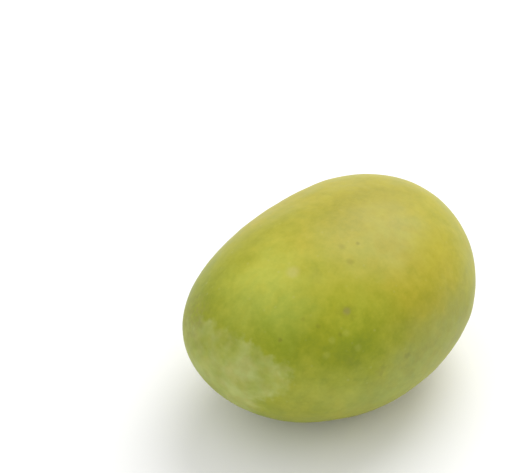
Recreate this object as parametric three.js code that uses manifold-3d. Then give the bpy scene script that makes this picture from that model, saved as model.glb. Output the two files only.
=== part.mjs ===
// A mango as picked: one whole fruit lying on its flatter cheek, with the dry stub of its stalk.
// Millimetres, +Z up. The stalk end points along +X, the hollow side of the kidney shape (the belly)
// along +Y and the rounded side (the back) along -Y. The origin lies on the surface that the fruit
// rests on, under the middle of its outline.

import * as THREE from 'three';
import { mergeVertices } from 'three/addons/utils/BufferGeometryUtils.js';
import Module from 'manifold-3d';

// Driving dimensions of the fruit
const fruitLength = 110;      // from the apex to the level of the stalk, hollow not counted
const backToBelly = 83;       // width of the widest section, level as the fruit lies
const cheekToCheek = 70.5;    // thickness of the same section, upright as the fruit lies
const kidneyBend = 5.5;       // how far the two ends lie towards the belly from the middle
const apexHook = 1.3;         // how much more of that bend the apex has, and the stalk end less
const flatSpotDepth = 0.4;    // how much the fruit's own weight has flattened its lower cheek

// Form of the fruit, as shares of the dimensions above
const endBluntness = 0.92;    // power of the sine that draws the outline: 1 is an ellipse, less is blunter
const endSwell = 0.07;        // extra girth towards both ends
const stalkEndSwell = 0.03;   // extra girth towards the stalk end, and as much less at the apex
const bellyThinness = 0.037;  // the section is an egg, thinner at the belly than at the back
const unevenness = 0.006;     // height of the slow waves in the skin, as a share of the girth

// Stalk end: a shallow hollow with a low corky ring round the socket of the stalk
const hollowDepth = 2.4;
const hollowRadius = 9;
const ringHeight = 0.5;
const ringRadius = 4.3;
const ringWidth = 1.1;
const socketDepth = 2.2;

// Apex: the blunt beak that the style leaves, a little towards the belly
const beakHeight = 0.6;
const beakRadius = 5;
const beakOffset = 6;

// Stub of the stalk, broken off short
const stubRadius = 2.4;
const stubHeight = 2.3;       // above the floor of the hollow
const stubFlare = 0.35;       // how much wider the torn end is
const tearHeight = 0.5;       // how uneven the torn end is
const knobbliness = 0.04;     // how far the torn end is from round, as a share of its radius
const pithRadius = 1.1;
const pithDepth = 0.7;
const jointGap = 0.3;         // clearance all round the root of the stub

// Fineness of the meshes
const ringsAlong = 52;
const stepsAround = 72;
const ringCrowding = 1.35;    // above 1 the rings crowd together at the stalk
const stubSides = 20;

const skinColour = new THREE.Color(0xb4b446);
const stalkColour = new THREE.Color(0x5b4636);

const wasm = await Module();
wasm.setup();

// Slow waves in the girth, which fade out at both ends.
function waves(turn, around) {
  const fade = Math.sin(turn) ** 2;
  const broad = Math.cos(2 * around + 0.9) * Math.sin(2 * turn + 0.4);
  const fine = Math.cos(3 * around - 1.1) * Math.cos(3 * turn - 0.7);
  return 1 + unevenness * fade * (broad + 0.7 * fine);
}

// A point of the skin. turn runs from 0 at the stalk to PI at the apex, and around from the belly
// over the upper cheek, the back and the lower cheek.
function skinPoint(turn, around) {
  const along = Math.cos(turn);
  const swell = 1 + stalkEndSwell * along + endSwell * along ** 2;
  const girth = Math.sin(turn) ** endBluntness * swell * waves(turn, around);
  const towardsBelly = girth * backToBelly / 2 * Math.cos(around);
  const egg = 1 - bellyThinness * Math.cos(around);
  const up = girth * cheekToCheek / 2 * Math.sin(around) * egg;
  const fromAxis = Math.hypot(towardsBelly, up);
  let forward = fruitLength / 2 * along;
  if (along > 0) {
    forward -= hollowDepth * Math.exp(-((fromAxis / hollowRadius) ** 2));
    forward += ringHeight * Math.exp(-(((fromAxis - ringRadius) / ringWidth) ** 2));
  } else {
    const fromBeak = Math.hypot(towardsBelly - beakOffset, up);
    forward -= beakHeight * Math.exp(-((fromBeak / beakRadius) ** 2));
  }
  const bend = kidneyBend * along ** 2 - apexHook * along ** 3;
  return new THREE.Vector3(forward, towardsBelly + bend, up);
}

// Closes a stack of rings with a point at each end. The rings run along the axis, and each one is
// drawn anticlockwise seen from the last ring.
function closedSurface(firstPoint, rings, lastPoint) {
  const sides = rings[0].length;
  const points = [firstPoint, ...rings.flat(), lastPoint];
  const faces = [];
  const at = (ring, side) => 1 + ring * sides + (side % sides);
  for (let side = 0; side < sides; side++) {
    faces.push(0, at(0, side + 1), at(0, side));
    for (let ring = 0; ring + 1 < rings.length; ring++) {
      faces.push(at(ring, side), at(ring, side + 1), at(ring + 1, side + 1));
      faces.push(at(ring, side), at(ring + 1, side + 1), at(ring + 1, side));
    }
    faces.push(at(rings.length - 1, side), at(rings.length - 1, side + 1), points.length - 1);
  }
  const geometry = new THREE.BufferGeometry().setFromPoints(points);
  return geometry.setIndex(faces);
}

// A list of points round one ring, made by a function of the angle.
function ringOf(count, pointAt) {
  return Array.from({ length: count }, (_, i) => pointAt(i / count * 2 * Math.PI));
}

// Turns a closed geometry into a solid that can be cut.
function solidFrom(geometry) {
  const bare = geometry.clone();
  bare.deleteAttribute('normal');
  bare.deleteAttribute('uv');
  const merged = mergeVertices(bare);
  return new wasm.Manifold(new wasm.Mesh({
    numProp: 3,
    vertProperties: merged.attributes.position.array,
    triVerts: new Uint32Array(merged.index.array),
  }));
}

// Turns a solid back into a geometry.
function geometryFrom(solid) {
  const { vertProperties, triVerts } = solid.getMesh();
  const geometry = new THREE.BufferGeometry();
  geometry.setAttribute('position', new THREE.BufferAttribute(vertProperties, 3));
  return geometry.setIndex(new THREE.BufferAttribute(triVerts, 1));
}

// The fruit: skin, flesh and stone in one grown body. Its lower cheek is pressed flat where it rests,
// and the stalk's socket is sunk in the hollow.
function fruit() {
  const rings = [];
  for (let i = ringsAlong - 1; i > 0; i--) {
    const turn = Math.PI * (i / ringsAlong) ** ringCrowding;
    rings.push(ringOf(stepsAround, (around) => skinPoint(turn, around)));
  }
  const whole = closedSurface(skinPoint(Math.PI, 0), rings, skinPoint(0, 0));
  whole.computeBoundingBox();

  const below = new THREE.BoxGeometry(2 * fruitLength, 2 * fruitLength, fruitLength);
  below.translate(0, 0, whole.boundingBox.min.z + flatSpotDepth - fruitLength / 2);

  const socketRadius = stubRadius + jointGap;
  const socket = new THREE.CylinderGeometry(socketRadius, socketRadius, 2 * socketDepth, stubSides);
  socket.rotateZ(-Math.PI / 2);
  socket.translate(...stalkFoot().toArray());

  const trimmed = solidFrom(whole).subtract(solidFrom(below)).subtract(solidFrom(socket));
  const material = new THREE.MeshStandardMaterial({ color: skinColour, roughness: 0.42, metalness: 0 });
  const mesh = new THREE.Mesh(geometryFrom(trimmed), material);
  mesh.name = 'fruit';
  return mesh;
}

// Where the stalk's axis meets the floor of the hollow.
function stalkFoot() {
  return skinPoint(0, 0);
}

// The stub: a woody peg that stands in its socket, with a torn end round a sunken pith.
function stalkStub() {
  const foot = stalkFoot();
  const rootLevel = jointGap - socketDepth;
  // One ring of the peg. torn is the share of the tear and of the knobbly outline that it shows.
  const ring = (radius, level, torn) => ringOf(stubSides, (around) => {
    const tear = tearHeight * (0.6 * Math.sin(3 * around + 0.5) + 0.4 * Math.sin(5 * around));
    const knobbly = knobbliness * (Math.sin(2 * around + 1) + Math.sin(5 * around + 2));
    const reach = radius * (1 + torn * knobbly);
    return new THREE.Vector3(
      foot.x + level + torn * tear,
      foot.y + reach * Math.cos(around),
      foot.z + reach * Math.sin(around));
  });
  const rings = [
    ring(stubRadius, rootLevel, 0),
    ring(stubRadius, ringHeight, 0),
    ring(stubRadius, stubHeight * 0.5, 0.4),
    ring(stubRadius + stubFlare, stubHeight * 0.85, 0.7),
    ring(stubRadius, stubHeight, 1),
    ring(pithRadius, stubHeight - pithDepth / 2, 0.5),
  ];
  const root = new THREE.Vector3(foot.x + rootLevel, foot.y, foot.z);
  const pith = new THREE.Vector3(foot.x + stubHeight - pithDepth, foot.y, foot.z);
  const material = new THREE.MeshStandardMaterial({ color: stalkColour, roughness: 0.85, metalness: 0 });
  const mesh = new THREE.Mesh(closedSurface(root, rings, pith), material);
  mesh.name = 'stalk_stub';
  return mesh;
}

// The whole mango, moved so that it rests on Z = 0 with the middle of its outline over the origin.
const mango = new THREE.Group();
mango.add(fruit(), stalkStub());
const outline = new THREE.Box3().setFromObject(mango, true);
const middle = outline.getCenter(new THREE.Vector3());
mango.position.set(-middle.x, -middle.y, -outline.min.z);

export default mango;
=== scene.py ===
import math

import bpy
import numpy as np
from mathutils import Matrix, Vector


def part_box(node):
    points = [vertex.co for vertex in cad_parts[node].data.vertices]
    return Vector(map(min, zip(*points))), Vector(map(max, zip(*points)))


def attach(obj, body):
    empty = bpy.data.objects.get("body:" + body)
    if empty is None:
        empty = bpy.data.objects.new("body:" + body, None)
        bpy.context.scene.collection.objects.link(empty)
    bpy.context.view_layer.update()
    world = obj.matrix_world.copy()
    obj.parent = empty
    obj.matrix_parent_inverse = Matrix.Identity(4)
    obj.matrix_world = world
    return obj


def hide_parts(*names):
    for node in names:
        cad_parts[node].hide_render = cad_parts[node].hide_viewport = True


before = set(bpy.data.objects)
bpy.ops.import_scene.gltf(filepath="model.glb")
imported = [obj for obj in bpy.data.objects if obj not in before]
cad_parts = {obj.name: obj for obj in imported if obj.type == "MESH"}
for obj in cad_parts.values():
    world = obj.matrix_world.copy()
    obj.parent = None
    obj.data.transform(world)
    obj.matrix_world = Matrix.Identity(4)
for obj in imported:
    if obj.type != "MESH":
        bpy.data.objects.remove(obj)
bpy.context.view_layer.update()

# The fruit. Skin, flesh and stone grew as one body from a single flower, hanging by the stalk. What
# shows is the skin: tough and faintly waxy, gold where the sun reached it and green where leaves hid
# it, with a dull bloom round the apex. The fruit's own weight presses it flat where it lies.

MM = 0.001
FRUIT_LENGTH = 110 * MM
BACK_TO_BELLY = 83 * MM
CHEEK_TO_CHEEK = 70.5 * MM
KIDNEY_BEND = 5.5 * MM
APEX_HOOK = 1.3 * MM
END_BLUNTNESS = 0.92
END_SWELL = 0.07
STALK_END_SWELL = 0.03
BELLY_THINNESS = 0.037
UNEVENNESS = 0.006
FINE_SHARE = 0.7
HOLLOW_DEPTH = 2.4 * MM
HOLLOW_RADIUS = 9 * MM
RING_HEIGHT = 0.5 * MM
RING_RADIUS = 4.3 * MM
RING_WIDTH = 1.1 * MM
BEAK_HEIGHT = 0.6 * MM
BEAK_RADIUS = 5 * MM
BEAK_OFFSET = 6 * MM


def skin_point(turn, around):
    """A point of the skin in the fruit's own axes. turn runs from 0 at the stalk to pi at the apex, and
    around once round from the belly over the upper cheek. The girth is a power of sin(turn), swollen
    towards the ends and rippled by slow waves, which start at odd angles so that no side repeats
    another; the section is an egg; the axis bends towards the belly with the square of cos(turn); the
    hollow, its ring and the beak are bell curves along the axis."""
    along = np.cos(turn) + 0 * around
    broad = np.cos(2 * around + 0.9) * np.sin(2 * turn + 0.4)
    fine = np.cos(3 * around - 1.1) * np.cos(3 * turn - 0.7)
    waves = 1 + UNEVENNESS * np.sin(turn) ** 2 * (broad + FINE_SHARE * fine)
    swell = 1 + STALK_END_SWELL * along + END_SWELL * along ** 2
    girth = np.abs(np.sin(turn)) ** END_BLUNTNESS * swell * waves
    to_belly = girth * BACK_TO_BELLY / 2 * np.cos(around)
    up = girth * CHEEK_TO_CHEEK / 2 * np.sin(around) * (1 - BELLY_THINNESS * np.cos(around))
    from_axis = np.hypot(to_belly, up)
    hollow = -HOLLOW_DEPTH * np.exp(-(from_axis / HOLLOW_RADIUS) ** 2)
    ring = RING_HEIGHT * np.exp(-((from_axis - RING_RADIUS) / RING_WIDTH) ** 2)
    beak = -BEAK_HEIGHT * np.exp(-(np.hypot(to_belly - BEAK_OFFSET, up) / BEAK_RADIUS) ** 2)
    forward = FRUIT_LENGTH / 2 * along + np.where(along > 0, hollow + ring, beak)
    bend = KIDNEY_BEND * along ** 2 - APEX_HOOK * along ** 3
    return np.stack([forward, to_belly + bend, up], axis=-1)


RINGS = 300
STEPS = 330
STALK_CROWDING = 1.5       # above 1 the rings crowd together at the stalk
turns = np.pi * (np.arange(1, RINGS + 1)[:, None] / (RINGS + 1)) ** STALK_CROWDING
arounds = 2 * np.pi * np.arange(STEPS)[None, :] / STEPS
skin = skin_point(turns, arounds)
low, high = (np.array(corner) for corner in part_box("fruit"))
to_frame = (low + high) / 2 - (skin.min(axis=(0, 1)) + skin.max(axis=(0, 1))) / 2
to_frame[2] = high[2] - skin[..., 2].max()
skin = skin + to_frame


def on_skin(along, degrees):
    """The place on the skin at a share along the axis, from -1 at the apex to 1 at the stalk, and at an
    angle round the axis from the belly."""
    return skin_point(np.arccos(along), np.radians(degrees)) + to_frame


def lumps(points, size, swell, seed):
    """Smooth random swellings about as high as swell: a sum of cosines of the place along random
    directions, with wavelengths near size."""
    random = np.random.default_rng(seed)
    waves = 18
    shortest, longest = 0.75, 1.35
    direction = random.normal(size=(waves, 3))
    direction /= np.linalg.norm(direction, axis=1, keepdims=True)
    pitch = 2 * np.pi / (size * random.uniform(shortest, longest, waves))
    phase = random.uniform(0, 2 * np.pi, waves)
    ripples = np.cos(points @ (direction * pitch[:, None]).T + phase)
    return swell * math.sqrt(2 / waves) * ripples.sum(-1)


def outward(points):
    """Unit normals of a grid of points whose rows are closed rings: the cross product of the steps
    along the rows and round the ring."""
    along_rows = np.gradient(points, axis=0)
    round_ring = np.roll(points, -1, axis=1) - np.roll(points, 1, axis=1)
    normal = np.cross(along_rows, round_ring)
    return normal / np.linalg.norm(normal, axis=-1, keepdims=True)


def closed_piece(name, rows, first, last):
    """A smooth piece from a grid of points whose rows are closed rings, each end closed by a fan to a
    point. rows has the shape rings, steps, 3, and its rings turn anticlockwise seen from first."""
    rings, steps, _ = rows.shape
    points = np.vstack([rows.reshape(-1, 3), first, last])
    ring, step = np.meshgrid(np.arange(rings - 1), np.arange(steps), indexing="ij")
    next_step = (step + 1) % steps
    quads = np.stack([ring * steps + step, (ring + 1) * steps + step,
                      (ring + 1) * steps + next_step, ring * steps + next_step], axis=-1)
    quads = quads.reshape(-1, 4)
    near = np.arange(steps)
    far = near + (rings - 1) * steps
    first_fan = np.stack([np.full(steps, rings * steps), near, np.roll(near, -1)], axis=-1)
    last_fan = np.stack([np.full(steps, rings * steps + 1), np.roll(far, -1), far], axis=-1)
    mesh = bpy.data.meshes.new(name)
    mesh.from_pydata(points, [], first_fan.tolist() + quads.tolist() + last_fan.tolist())
    mesh.shade_smooth()
    piece = bpy.data.objects.new(name, mesh)
    bpy.context.scene.collection.objects.link(piece)
    return piece


# Relief of the skin: slow swellings, shallow dimples, the wrinkled cork ring and the stalk's socket
SWELLINGS = [(26 * MM, 0.12 * MM), (10 * MM, 0.045 * MM), (4 * MM, 0.012 * MM)]
WRINKLES = 17
WRINKLE_SWAY = 2
WRINKLE_HEIGHT = 0.055 * MM
WRINKLED_WIDTH = 1.4 * RING_WIDTH
CRUMPLE_SIZE = 1.6 * MM
CRUMPLE_HEIGHT = 0.05 * MM
SOCKET_RADIUS = 2.5 * MM
SOCKET_DEPTH = 2.2 * MM
SOCKET_STEEPNESS = 14      # the power that makes its wall nearly upright
DENT_PLACE = (-0.442, 133.7)
DENT_RADIUS = 1.3 * MM
DENT_DEPTH = 0.12 * MM
PRESS_SOFTNESS = 0.06 * MM
FAR_AWAY = 1.0             # stands for the distance from the stalk on the apex half
stalk_foot, apex, dent = on_skin(1.0, 0.0), on_skin(-1.0, 0.0), on_skin(*DENT_PLACE)
off_axis = np.hypot(skin[..., 1] - stalk_foot[1], skin[..., 2] - stalk_foot[2])
from_stalk = np.where(skin[..., 0] > 0, off_axis, FAR_AWAY)
relief = sum(lumps(skin, size, swell, seed) for seed, (size, swell) in enumerate(SWELLINGS, 1))
relief = relief * np.sin(turns)
on_ring = np.exp(-((from_stalk - RING_RADIUS) / WRINKLED_WIDTH) ** 2)
folds = np.sin(WRINKLES * arounds + WRINKLE_SWAY * np.sin(3 * arounds) + from_stalk / MM)
relief += on_ring * (WRINKLE_HEIGHT * folds + lumps(skin, CRUMPLE_SIZE, CRUMPLE_HEIGHT, 4))
relief -= DENT_DEPTH * np.exp(-(np.linalg.norm(skin - dent, axis=-1) / DENT_RADIUS) ** 2)
skin = skin + outward(skin) * relief[..., None]
skin[..., 0] -= SOCKET_DEPTH * np.exp(-(from_stalk / SOCKET_RADIUS) ** SOCKET_STEEPNESS)
skin[..., 2] = (skin[..., 2] + np.hypot(skin[..., 2], PRESS_SOFTNESS)) / 2      # pressed flat at height 0
socket_floor = stalk_foot - np.array((SOCKET_DEPTH, 0, 0))
fruit = closed_piece("mango_skin", skin, socket_floor, apex)


class Socket:
    """One socket of a shader node. Sums written with sockets add the Math nodes that work them out."""

    def __init__(self, finish, socket):
        self.finish, self.socket = finish, socket

    def __add__(self, other):
        return self.finish.math("ADD", self, other)

    def __sub__(self, other):
        return self.finish.math("SUBTRACT", self, other)

    def __rsub__(self, other):
        return self.finish.math("SUBTRACT", other, self)

    def __mul__(self, other):
        return self.finish.math("MULTIPLY", self, other)

    __radd__ = __add__
    __rmul__ = __mul__


class Finish:
    """A material in the making: a Principled shader and the nodes that feed it."""

    def __init__(self, name, constants):
        self.material = bpy.data.materials.new(name)
        self.material.use_nodes = True
        self.tree = self.material.node_tree
        self.feed_shader(constants)
        self.place = self.node("ShaderNodeTexCoord", {}, {}, "Object")

    def node(self, kind, settings, sockets, output=0):
        """Adds a node: its settings first, then a value or a link for each socket. Gives one output."""
        node = self.tree.nodes.new(kind)
        for setting, value in settings.items():
            if setting == "stops":
                self.set_stops(node.color_ramp, value)
            else:
                setattr(node, setting, value)
        for entry, value in sockets.items():
            self.feed(node.inputs[entry], value)
        return Socket(self, node.outputs[output])

    def feed(self, entry, value):
        """Links a socket to an entry, or sets the entry to a number, a place or a colour."""
        if isinstance(value, Socket):
            self.tree.links.new(value.socket, entry)
        elif entry.type == "RGBA":
            entry.default_value = (*value, 1)
        else:
            entry.default_value = value

    def feed_shader(self, values):
        """Feeds the entries of the Principled shader, by their names."""
        for entry, value in values.items():
            self.feed(self.tree.nodes["Principled BSDF"].inputs[entry], value)

    @staticmethod
    def set_stops(ramp, stops):
        """Gives a colour ramp its stops: pairs of a position and a colour."""
        while len(ramp.elements) < len(stops):
            ramp.elements.new(1)
        for element, (position, colour) in zip(ramp.elements, stops):
            element.position = position
            element.color = (*colour, 1)

    def math(self, operation, *values):
        """The result of a Math node."""
        return self.node("ShaderNodeMath", {"operation": operation}, dict(enumerate(values)))

    def larger(self, value, other):
        """The larger of two numbers, which lays one mask over another."""
        return self.math("MAXIMUM", value, other)

    def vector(self, operation, *values):
        """The result of a Vector Math node, where that is a vector."""
        sockets = dict(enumerate(values))
        return self.node("ShaderNodeVectorMath", {"operation": operation}, sockets, "Vector")

    def scaled(self, vector, factor):
        """A vector or a colour, times a number."""
        sockets = {0: vector, "Scale": factor}
        return self.node("ShaderNodeVectorMath", {"operation": "SCALE"}, sockets, "Vector")

    def distance(self, place, other):
        """How far one place is from another."""
        sockets = {0: place, 1: other}
        return self.node("ShaderNodeVectorMath", {"operation": "DISTANCE"}, sockets, "Value")

    def part(self, vector, axis):
        """One of the three numbers of a vector."""
        return self.node("ShaderNodeSeparateXYZ", {}, {"Vector": vector}, axis)

    def smooth(self, value, start, end):
        """0 before start and 1 past end, with a smooth step between. start may be the larger."""
        sockets = {"Value": value, "From Min": start, "From Max": end}
        return self.node("ShaderNodeMapRange", {"interpolation_type": "SMOOTHSTEP"}, sockets)

    def cloud(self, size, detail=2.0, output="Fac", place=None):
        """Random clouds about a size across: a number near 0.5, or three of them as a colour."""
        sockets = {"Vector": place or self.place, "Scale": 1 / size, "Detail": detail}
        return self.node("ShaderNodeTexNoise", {}, sockets, output)

    def drifts(self, size, detail, thin, thick, place=None):
        """Clouds with harder edges: 0 where they are under thin, and 1 where they are over thick."""
        return self.smooth(self.cloud(size, detail, place=place), thin, thick)

    def cells(self, size, output="Distance"):
        """Random cells about a size across: the distance from a cell's middle, or a colour per cell."""
        sockets = {"Vector": self.place, "Scale": 1 / size}
        return self.node("ShaderNodeTexVoronoi", {}, sockets, output)

    def swayed(self, size, reach):
        """The place, moved about at random by up to half of reach, so that edges wander."""
        push = self.vector("SUBTRACT", self.cloud(size, 3, "Color"), (0.5, 0.5, 0.5))
        return self.vector("ADD", self.place, self.scaled(push, reach))

    def blend(self, share, colour, other):
        """A mix of two colours: all colour where share is 0, all other where it is 1."""
        factor, first, second, result = 0, 6, 7, 2      # the Mix node's own numbers for its colours
        sockets = {factor: share, first: colour, second: other}
        return self.node("ShaderNodeMix", {"data_type": "RGBA"}, sockets, result)

    def round_patch(self, place, centre, half_sizes, softness):
        """1 inside a round patch and 0 outside it. half_sizes are its half lengths along the three axes,
        and softness is the share of them over which the edge fades."""
        across = tuple(1 / half for half in half_sizes)
        reach = self.vector("MULTIPLY", self.vector("SUBTRACT", place, tuple(centre)), across)
        return self.smooth(self.distance(reach, (0, 0, 0)), 1 + softness / 2, 1 - softness / 2)

    def spots(self, place, places, radius, softness=1.2):
        """Soft round spots of one radius at places given as on_skin takes them."""
        mask = 0.0
        for along, degrees in places:
            spot = self.round_patch(place, on_skin(along, degrees), (radius, radius, radius), softness)
            mask = self.larger(spot, mask)
        return mask

    def bump(self, height, strength, distance):
        """A normal that shows a relief: strength times distance is how high it seems."""
        sockets = {"Strength": strength, "Distance": distance, "Height": height}
        return self.node("ShaderNodeBump", {}, sockets, "Normal")


# Colours of the skin from leaf green to full gold, and of what lies on it
LEAF_GREEN = (0.250, 0.300, 0.0003)
YELLOW_GREEN = (0.312, 0.326, 0.001)
OLD_GOLD = (0.352, 0.334, 0.003)
AMBER = (0.385, 0.335, 0.005)
# The wax colours also paint a highlight, a sheen and a reflection on the skin
WAX_AND_SHEEN_WHITE = (0.58, 0.63, 0.28)
WAX_AND_SHEEN_TAN = (0.57, 0.54, 0.24)
FLECK_PALE = (0.50, 0.52, 0.10)
BLUSH = (0.60, 0.48, 0.30)
DARK_SPECK = (0.12, 0.10, 0.002)
DARK_BLOTCH = (0.12, 0.13, 0.02)
BRUISE = (0.22, 0.165, 0.09)
RUSSET = (0.27, 0.22, 0.09)
CORK = (0.30, 0.225, 0.125)
CORK_CRACK = (0.095, 0.060, 0.035)
SAP_STAIN = (0.26, 0.205, 0.075)
SAP_DARK = (0.125, 0.085, 0.045)
SCRATCH = (0.19, 0.115, 0.02)

# The place, swayed at five scales so that edges wander, and clouds at four scales
peel = Finish("mango_skin", {"IOR": 1.37})
forward, beside, height = (peel.part(peel.place, axis) for axis in "XYZ")
wander = peel.swayed(14 * MM, 16 * MM)
ragged = peel.swayed(4 * MM, 8 * MM)
scalloped = peel.swayed(3 * MM, 7 * MM)
frayed = peel.swayed(1.5 * MM, 2.2 * MM)
torn = peel.swayed(1.2 * MM, 0.9 * MM)
broad_cloud = peel.cloud(28 * MM) - 0.5
mottle = peel.cloud(7 * MM) - 0.5
fine_mottle = peel.cloud(2.6 * MM) - 0.5
grain = peel.cloud(1.0 * MM, 1) - 0.5


def patch(place, along, degrees, half_length, half_height, softness=1.3):
    """A soft patch of the skin, given by its middle, its half length along the axis of the fruit and
    its half height across the axis, both in millimetres."""
    sizes = (half_length * MM, half_height * MM, half_height * MM)
    return peel.round_patch(place, on_skin(along, degrees), sizes, softness)


# Patches of the skin that ripened in their own way, and patches of painted highlight, sheen, light, shade
# and reflection
pale_green_and_highlight = patch(wander, -0.69, 100, 15, 13)       # the palest green, on top near the apex, with a painted highlight
shoulder = patch(wander, -0.46, 90, 16, 13)     # the swelling beside it
painted_shade_top = patch(wander, 0.22, 91, 24, 11)         # painted shade: the top of the half towards the stalk darker
painted_sheen = patch(wander, 0.06, 115, 20, 11)        # a painted sheen just behind the top, in the pale wax colour
painted_sheen_middle = patch(wander, 0.15, 115, 11, 6)         # the middle of that painted sheen, greyer and darker
sunny = patch(wander, 0.10, 137, 24, 13)        # gold on the slope towards the back
painted_light_flank = patch(wander, -0.46, 131, 13, 10)       # painted light: the skin above the belt lighter
dip = patch(wander, -0.33, 145, 12, 10)         # green that reaches up from the belt
belt = patch(wander, -0.56, 145, 36, 12)        # the deep green belt of the half towards the apex
dusk = patch(wander, -0.50, 148, 10, 6)         # the deepest green in the belt
apex_side = patch(wander, -0.78, 121, 12, 8)    # the belt's end beside the apex
spared = patch(wander, -0.34, 164, 9, 6)        # a paler, riper place under the belt
lower = patch(wander, -0.74, 168, 15, 10)       # yellower skin low down near the apex
leafy = patch(wander, -0.72, 205, 20, 14)       # the same, further under
painted_shade_back = patch(wander, 0.02, 172, 32, 13)         # painted shade: the back darker
green_and_reflection_low_back = patch(wander, 0.00, 188, 34, 16)       # greener skin low down the back, greyed by a painted reflection
flush = patch(wander, 0.05, 20, 30, 16)         # gold on the belly
stalk_distance = peel.distance(wander, tuple(stalk_foot))
halo = peel.smooth(stalk_distance, 15 * MM, 6 * MM)
stalkward = peel.smooth(forward, -50 * MM, 10 * MM)

# How ripe the skin is: gold at the top and towards the stalk, greener down the back
ripeness = 0.04 + 0.62 * stalkward + 0.29 * peel.smooth(height, 36 * MM, 72 * MM)
ripeness += 0.05 * peel.smooth(beside, -30 * MM, 20 * MM)
ripeness += 0.14 * shoulder + 0.15 * sunny + 0.06 * painted_light_flank + 0.06 * painted_sheen + 0.13 * lower + 0.20 * leafy
ripeness += 0.02 * painted_shade_back + 0.07 * spared + 0.30 * flush
ripeness -= 0.14 * pale_green_and_highlight + 0.27 * dip + 0.14 * belt + 0.11 * apex_side + 0.34 * green_and_reflection_low_back + 0.34 * halo
ripeness += 0.28 * broad_cloud + 0.42 * mottle + 0.30 * fine_mottle + 0.20 * grain
colour = peel.node("ShaderNodeValToRGB", {"stops": [
    (0.0, LEAF_GREEN), (0.35, YELLOW_GREEN), (0.75, OLD_GOLD), (1.0, AMBER)]}, {"Fac": ripeness})

# How pale it is: palest near the apex on top, partly a painted highlight, and deepest in the belt;
# painted light on the flank, painted shade on the top of the half towards the stalk and down the back
paleness = 0.17 * mottle + 0.16 * fine_mottle + 0.075 * grain
brightness = 0.96 + 0.22 * pale_green_and_highlight + 0.08 * shoulder + 0.02 * sunny + 0.14 * painted_light_flank + 0.02 * dip
brightness += 0.03 * lower + 0.08 * spared
brightness -= 0.11 * painted_shade_top + 0.07 * belt + 0.02 * apex_side + 0.14 * painted_shade_back + 0.05 * green_and_reflection_low_back
brightness -= 0.07 * dusk + 0.06 * painted_sheen_middle + 0.03 * leafy
brightness += 0.07 * broad_cloud + paleness
colour = peel.scaled(colour, brightness)

# The bloom: dull wax round the apex, rubbed away in scallops, and a trace of it everywhere. The same pale
# colour paints a highlight near the apex, a sheen on top and a reflection low on the back.
CAP_MIDDLE = apex[0] - 1 * MM
CAP_REACH = 30 * MM
upper_cap = peel.round_patch(scalloped, (CAP_MIDDLE, 2.5 * MM, 38.5 * MM),
                             (CAP_REACH, 22.5 * MM, 12 * MM), 0.22)
lower_cap = peel.round_patch(scalloped, (CAP_MIDDLE, 9 * MM, 28 * MM),
                             (CAP_REACH, 19 * MM, 18 * MM), 0.40)
lobe = 0.8 * patch(scalloped, -0.85, 158, 4, 3.5, 0.8)
apex_cap = peel.larger(peel.larger(upper_cap, lower_cap), lobe)
heart = peel.round_patch(ragged, (apex[0], -3 * MM, 31.5 * MM), (CAP_REACH, 14 * MM, 12 * MM), 1.2)
thickness = peel.drifts(8 * MM, 2, 0.30, 0.70)
rubbed = peel.drifts(3.5 * MM, 3, 0.30, 0.70)
wax_and_painted_sheen = apex_cap * (0.06 + 0.22 * thickness + 0.08 * rubbed + 0.13 * heart)
wax_and_painted_sheen += 0.015 + 0.03 * stalkward + 0.3 * paleness + 0.13 * peel.smooth(stalk_distance, 34 * MM, 6 * MM)
# these rows also paint highlight, sheen, light and reflection in the wax colour
wax_and_painted_sheen += 0.13 * pale_green_and_highlight + 0.03 * shoulder + 0.09 * painted_sheen + 0.05 * painted_sheen_middle + 0.035 * painted_light_flank + 0.02 * dip
wax_and_painted_sheen += 0.035 * lower + 0.08 * leafy + 0.17 * green_and_reflection_low_back
wax_and_painted_sheen -= 0.02 * painted_shade_top + 0.02 * painted_shade_back + 0.03 * spared + 0.03 * dusk + 0.04 * peel.larger(belt, apex_side)
tint = peel.drifts(5 * MM, 3, 0.40, 0.62)
colour = peel.blend(wax_and_painted_sheen, colour, peel.blend(tint, WAX_AND_SHEEN_WHITE, WAX_AND_SHEEN_TAN))

# Russet where the apex rubbed against a branch
russet = patch(ragged, -0.90, 36, 8, 8, 1.2) * peel.drifts(1.4 * MM, 4, 0.30, 0.75)
colour = peel.blend(0.42 * russet, colour, RUSSET)

# Lenticels: the pores of the skin, pale and raised with a corky eye, plainer towards the apex
PORE_SPACING = 3.2 * MM
pores = peel.cells(PORE_SPACING)
near_apex = peel.smooth(forward, 10 * MM, -45 * MM)
plainness = peel.smooth(peel.cells(PORE_SPACING, "Color"), 0.25, 0.85) * (0.45 + 0.55 * near_apex)
pore = peel.smooth(pores, 0.21, 0.06) * plainness
pore_eye = peel.smooth(pores, 0.06, 0.02) * plainness
colour = peel.blend(0.12 * pore, colour, WAX_AND_SHEEN_TAN)
colour = peel.blend(0.35 * pore_eye, colour, RUSSET)

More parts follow.
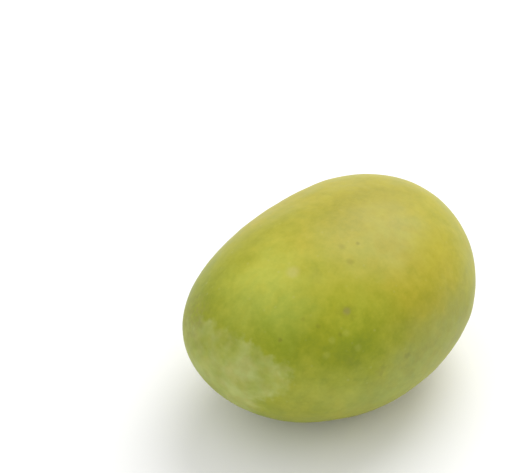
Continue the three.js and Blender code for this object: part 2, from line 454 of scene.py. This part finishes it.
# Specks, scuffs and the small dent. Each row is a kind of mark: what its edges follow, its radius in
# millimetres, how strongly its colour shows, and where it lies, as on_skin takes a place.
MARKS = [
    # small dark dots, fainter ones and wider ones
    (torn, 0.7, 0.34, DARK_SPECK, [(-0.094, 107.7), (-0.798, 132.1)]),
    (torn, 0.7, 0.20, DARK_SPECK, [(-0.616, 134.0), (-0.541, 143.5), (-0.656, 126.1)]),
    (torn, 1.1, 0.22, DARK_SPECK, [(-0.188, 104.6), (-0.230, 113.2)]),
    # dark blotches and smudges
    (ragged, 1.7, 0.26, DARK_BLOTCH, [(-0.383, 174.3), (-0.185, 172.5)]),
    (ragged, 2.4, 0.12, DARK_BLOTCH, [(-0.440, 108.5), (-0.535, 160.9)]),
    # pale flecks and a scuff
    (torn, 1.1, 0.17, FLECK_PALE, [(-0.592, 145.0), (-0.510, 144.3), (-0.483, 154.8), (-0.648, 153.0)]),
    (torn, 2.0, 0.16, BLUSH, [(-0.507, 99.6)]),
    # the dark rim of the dent and the bruise in it
    (ragged, 2.4, 0.16, DARK_SPECK, [DENT_PLACE]),
    (torn, 1.15, 0.36, BRUISE, [DENT_PLACE])]
for edges, radius, share, mark_colour, places in MARKS:
    colour = peel.blend(share * peel.spots(edges, places, radius * MM), colour, mark_colour)

# The stalk end: sap that ran from the stalk and dripped, and the cork ring with its cracks
SAP_RUN = [(0.995, 62), (0.991, 82), (0.985, 98)]
SAP_RUN_RADIUS = 2.6 * MM
SAP_DROP = [(0.960, 111)]
SAP_DROP_RADIUS = 2.1 * MM
THICK_SAP_END = 8.0 * MM
THICK_SAP_FULL = 3.0 * MM
CORK_END = 5.8 * MM
CORK_FULL = 4.0 * MM
CRACKS_ROUND = 2.6         # how fast the cracks follow each other round the ring
CRACKS_OUTWARDS = 0.15 / MM      # and how fast they change outwards, which is slower
from_foot = peel.vector("SUBTRACT", torn, tuple(stalk_foot))
foot_distance = peel.distance(torn, tuple(stalk_foot))
stain = peel.larger(peel.spots(ragged, SAP_RUN, SAP_RUN_RADIUS),
                    peel.spots(ragged, SAP_DROP, SAP_DROP_RADIUS))
uneven = peel.drifts(2.8 * MM, 3, 0.25, 0.75)
colour = peel.blend(stain * (0.35 + 0.40 * uneven), colour, SAP_STAIN)
sideways = peel.vector("NORMALIZE", peel.vector("MULTIPLY", from_foot, (0, 1, 1)))
cracks_place = peel.vector("ADD", peel.scaled(sideways, CRACKS_ROUND),
                           peel.scaled(from_foot, CRACKS_OUTWARDS))
cracks = peel.drifts(1, 3, 0.38, 0.56, cracks_place)      # size 1: the place is already scaled
cork = peel.smooth(foot_distance, CORK_END, CORK_FULL) * (0.75 + 0.8 * grain)
colour = peel.blend(cork, colour, peel.blend(cracks, CORK_CRACK, CORK))
thick_sap = stain * peel.smooth(foot_distance, THICK_SAP_END, THICK_SAP_FULL) * uneven
colour = peel.blend(0.75 * thick_sap, colour, SAP_DARK)

# Brown scratches in a chafed patch of the belly. Each row is one scratch, as patch takes it.
SCRATCHES = [(0.10, 22, 1.7, 0.5), (0.135, 23.5, 0.8, 0.7), (0.162, 25.5, 1.6, 0.5), (0.20, 26, 0.7, 0.7)]
scratched = 0.0
for along, degrees, half_length, half_height in SCRATCHES:
    scratched = peel.larger(patch(frayed, along, degrees, half_length, half_height, 1.1), scratched)
scratched = scratched * peel.drifts(0.9 * MM, 3, 0.30, 0.60)
chafed = patch(ragged, 0.150, 24.5, 5.5, 1.6, 1.4) * peel.drifts(1.6 * MM, 3, 0.35, 0.70)
colour = peel.blend(0.75 * scratched + 0.22 * chafed, colour, SCRATCH)

relief_height = 0.8 * grain + 0.8 * pore + 0.2 * fine_mottle + cork * (1.0 + 2.0 * cracks)
peel.feed_shader({
    "Base Color": colour,
    "Roughness": 0.44 + 0.5 * wax_and_painted_sheen + 0.12 * mottle + 0.3 * cork + 0.2 * russet,
    "Normal": peel.bump(relief_height, 0.35, 0.06 * MM)})
fruit.data.materials.append(peel.material)
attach(fruit, "root")
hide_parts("fruit")

# The stub of the stalk: the woody stem that carried the fruit, broken off short when it was picked and
# dried since. It has bark round its side, torn fibres on its end and a sunken pith in the middle, and
# it stands in its socket.

STUB_RADIUS = 2.4 * MM
STUB_HEIGHT = 2.3 * MM
STUB_ROOT = -1.9 * MM
STUB_FLARE = 0.35 * MM
FLARE_LEVEL = 0.85
FLARE_SPREAD = 0.22
KNOBBLINESS = 0.04
FURROWS = 13
FURROW_SWAY = 2.2
FURROW_SLANT = 1.5
FURROW_WIDTH = 0.6
BARK_DEPTH = 0.09 * MM
TEAR_HEIGHT = 0.5 * MM
RIM_START = 0.93
SPLINTERS = [(0.5 * MM, 0.18 * MM), (0.25 * MM, 0.09 * MM)]
PITH_DEPTH = 0.7 * MM
PITH_EDGE = 0.15
PITH_SLOPE = 0.5
SIDE_RINGS = 60
END_RINGS = 50
END_REACH = 0.985          # how near the rings of the end come to its middle
STUB_STEPS = 180


def stub_point(share, around):
    """A point of the stub. share runs from 0 at the root up the side to 1 at the rim, and in over the
    torn end to 2 at its middle. The radius is even, with a flare under the rim, slow lobes and narrow
    furrows of bark; the end rises and falls in slow tears and fast splinters, and sinks to the pith."""
    side = np.minimum(share, 1) + 0 * around
    inward = np.clip(share - 1, 0, 1) + 0 * around
    above = STUB_ROOT + side * (STUB_HEIGHT - STUB_ROOT)
    exposed = np.clip(above / STUB_HEIGHT, 0, 1)
    lobes = KNOBBLINESS * (np.sin(2 * around + 1) + np.sin(5 * around + 2))
    furrow_turn = FURROWS * around + FURROW_SWAY * np.sin(2 * around) + FURROW_SLANT * side
    furrows = np.abs(np.sin(furrow_turn)) ** FURROW_WIDTH
    flare = STUB_FLARE * np.exp(-((exposed - FLARE_LEVEL) / FLARE_SPREAD) ** 2)
    radius = (STUB_RADIUS + flare) * (1 + lobes * exposed) - BARK_DEPTH * (1 - furrows) * exposed
    reach = radius * (1 - inward)
    tear = TEAR_HEIGHT * (0.6 * np.sin(3 * around + 0.5) + 0.4 * np.sin(5 * around)) * (1 - inward)
    spread = np.stack([reach * np.cos(around), reach * np.sin(around), 0 * reach], axis=-1)
    splinters = sum(lumps(spread, size, swell, seed) for seed, (size, swell) in enumerate(SPLINTERS, 5))
    at_rim = np.clip((share - RIM_START) / (1 - RIM_START), 0, 1)
    dish = np.clip((inward - PITH_EDGE) / PITH_SLOPE, 0, 1)
    sunk = PITH_DEPTH * dish ** 2 * (3 - 2 * dish)
    level = above + exposed * tear + at_rim * splinters - sunk
    return np.stack([level, reach * np.cos(around), reach * np.sin(around)], axis=-1)


shares = np.concatenate([np.linspace(0, 1, SIDE_RINGS), 1 + np.linspace(0, END_REACH, END_RINGS + 1)[1:]])
stub_arounds = 2 * np.pi * np.arange(STUB_STEPS)[None, :] / STUB_STEPS
stub_rows = stub_point(shares[:, None], stub_arounds)[::-1] + stalk_foot
stub_middle = np.array((stub_rows[0, :, 0].mean(), stalk_foot[1], stalk_foot[2]))
stub_root = stalk_foot + np.array((STUB_ROOT, 0, 0))
stub = closed_piece("dry_stalk", stub_rows, stub_middle, stub_root)

BARK_DARK = (0.028, 0.016, 0.009)
BARK_LIGHT = (0.13, 0.085, 0.05)
FIBRE = (0.34, 0.25, 0.15)
wood = Finish("dry_stalk", {"IOR": 1.45})
lengthwise = wood.vector("MULTIPLY", wood.place, (0.35, 1, 1))      # streaks run along the stalk
streaks = wood.cloud(0.5 * MM, 4, place=lengthwise)
weathering = wood.cloud(1.3 * MM, 3)
rim_level = stalk_foot[0] + STUB_HEIGHT
torn_end = wood.smooth(wood.part(wood.place, "X"), rim_level - 0.9 * MM, rim_level + 0.2 * MM)
bark = wood.blend(wood.smooth(streaks + 0.4 * weathering, 0.50, 0.90), BARK_DARK, BARK_LIGHT)
fresh = torn_end * wood.smooth(streaks + 0.5 * weathering, 0.62, 0.95)
wood.feed_shader({
    "Base Color": wood.blend(0.8 * fresh, bark, FIBRE),
    "Roughness": 0.72 + 0.3 * weathering,
    "Normal": wood.bump(streaks, 0.8, 0.12 * MM)})
stub.data.materials.append(wood.material)
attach(stub, "root")
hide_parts("stalk_stub")

# The surface that the fruit lies on: a plain white sheet, matt, and so wide that its edges never show.

FLOOR_HALF = 3.0
floor_mesh = bpy.data.meshes.new("floor")
floor_mesh.from_pydata([(-FLOOR_HALF, -FLOOR_HALF, 0), (FLOOR_HALF, -FLOOR_HALF, 0),
                        (FLOOR_HALF, FLOOR_HALF, 0), (-FLOOR_HALF, FLOOR_HALF, 0)], [], [(0, 1, 2, 3)])
floor = bpy.data.objects.new("floor", floor_mesh)
bpy.context.scene.collection.objects.link(floor)
sheet = Finish("white_sheet", {"Base Color": (0.9, 0.9, 0.9), "Roughness": 0.9})
floor_mesh.materials.append(sheet.material)

# The camera, at the photograph's angle, with the fruit where the photograph has it.

IMAGE_WIDTH, IMAGE_HEIGHT = 520, 473
VIEW_AZIMUTH = math.radians(-46.92)
VIEW_ELEVATION = math.radians(38.05)
VIEW_DISTANCE = 0.65
PIXELS_PER_METRE = 2918    # at the fruit
FRUIT_PIXEL = (337.3, 297.5)      # where the middle of the fruit shows
SENSOR_WIDTH = 36
back = Vector((math.sin(VIEW_AZIMUTH) * math.cos(VIEW_ELEVATION),
               -math.cos(VIEW_AZIMUTH) * math.cos(VIEW_ELEVATION), math.sin(VIEW_ELEVATION)))
right = Vector((math.cos(VIEW_AZIMUTH), math.sin(VIEW_AZIMUTH), 0))
up = back.cross(right)
fruit_middle = Vector((0, 0, high[2] / 2))
aside = (FRUIT_PIXEL[0] - IMAGE_WIDTH / 2) / PIXELS_PER_METRE
below = (FRUIT_PIXEL[1] - IMAGE_HEIGHT / 2) / PIXELS_PER_METRE
camera_data = bpy.data.cameras.new("camera")
camera_data.sensor_width = SENSOR_WIDTH
camera_data.lens = SENSOR_WIDTH * PIXELS_PER_METRE * VIEW_DISTANCE / IMAGE_WIDTH
camera = bpy.data.objects.new("camera", camera_data)
camera.location = fruit_middle + back * VIEW_DISTANCE - right * aside + up * below
camera.rotation_mode = "QUATERNION"
camera.rotation_quaternion = back.to_track_quat("Z", "Y")
bpy.context.scene.collection.objects.link(camera)
bpy.context.scene.camera = camera

# The light: one wide soft lamp above and behind, and an even white surround.

SURROUND = 0.9
LAMP_DISTANCE = 1.2
LAMP_SIZE = 1.0
LAMP_WATTS = 9.0
LAMP_FROM = Vector((0.60, 0.19, 0.77)).normalized()
world = bpy.data.worlds.new("surround")
bpy.context.scene.world = world
world.use_nodes = True
world.node_tree.nodes["Background"].inputs["Color"].default_value = (1, 1, 1, 1)
world.node_tree.nodes["Background"].inputs["Strength"].default_value = SURROUND
lamp_data = bpy.data.lights.new("soft_lamp", "AREA")
lamp_data.shape = "DISK"
lamp_data.size = LAMP_SIZE
lamp_data.energy = LAMP_WATTS
lamp = bpy.data.objects.new("soft_lamp", lamp_data)
lamp.location = LAMP_FROM * LAMP_DISTANCE
lamp.rotation_mode = "QUATERNION"
lamp.rotation_quaternion = LAMP_FROM.to_track_quat("Z", "Y")
bpy.context.scene.collection.objects.link(lamp)
bpy.context.scene.view_settings.view_transform = "Standard"
